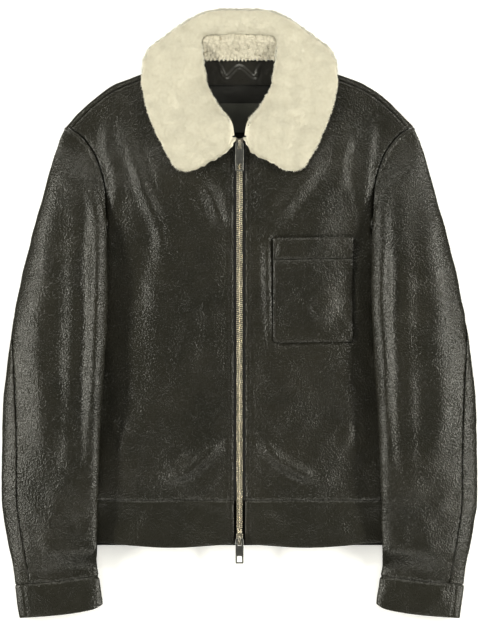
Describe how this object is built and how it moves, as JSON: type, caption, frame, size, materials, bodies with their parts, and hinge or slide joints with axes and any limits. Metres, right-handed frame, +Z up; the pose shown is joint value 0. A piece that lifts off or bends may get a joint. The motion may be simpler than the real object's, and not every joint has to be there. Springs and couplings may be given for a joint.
{
  "type": "leather jacket",
  "caption": "Zipped dark leather jacket with a cream shearling collar and a chest pocket, laid flat on its back; its zip pulls swing.",
  "frame": {"origin": "centre of the jacket's plan box, on the surface that it lies on", "axes": "+Y toward the collar, +Z up, out of the jacket's front; +X toward the wearer's left"},
  "size_m": [0.641, 0.8217, 0.0541],
  "materials": {
    "leather": "semi-gloss pebbled grain",
    "facing": "gloss",
    "shearling": "curly wool",
    "lining": "satin",
    "label": "woven",
    "zip_tape": "woven",
    "zip_teeth": "satin",
    "dark_metal": "dark satin"
  },
  "bodies": {
    "garment": {"back_panel": "leather", "hem_band_back": "leather", "front_left": "leather", "front_right": "leather", "hem_band_front_left": "leather", "hem_band_front_right": "leather", "sleeve_top_left": "leather", "sleeve_top_right": "leather", "sleeve_under_left": "leather", "sleeve_under_right": "leather", "cuff_left": "leather", "cuff_right": "leather", "chest_pocket": "leather", "pocket_band": "leather", "back_neck_facing": "facing", "collar": "shearling", "collar_stand": "shearling", "back_lining": "lining", "label": "label", "zip_tape_left": "zip_tape", "zip_tape_right": "zip_tape", "zip_chain": "zip_teeth", "slider_top": "dark_metal", "slider_bottom": "dark_metal"},
    "top_pull": {"pull_top": "dark_metal"},
    "bottom_pull": {"pull_bottom": "dark_metal"}
  },
  "joints": [
    {"name": "top_pull_swing", "type": "hinge", "parent": "garment", "child": "top_pull", "pos_m": [0, 0.2285, 0.0396], "axis": [-1, 0, 0], "range_deg": [0, 150]},
    {"name": "bottom_pull_swing", "type": "hinge", "parent": "garment", "child": "bottom_pull", "pos_m": [0, -0.3045, 0.027], "axis": [-1, 0, 0], "range_deg": [0, 150]}
  ]
}
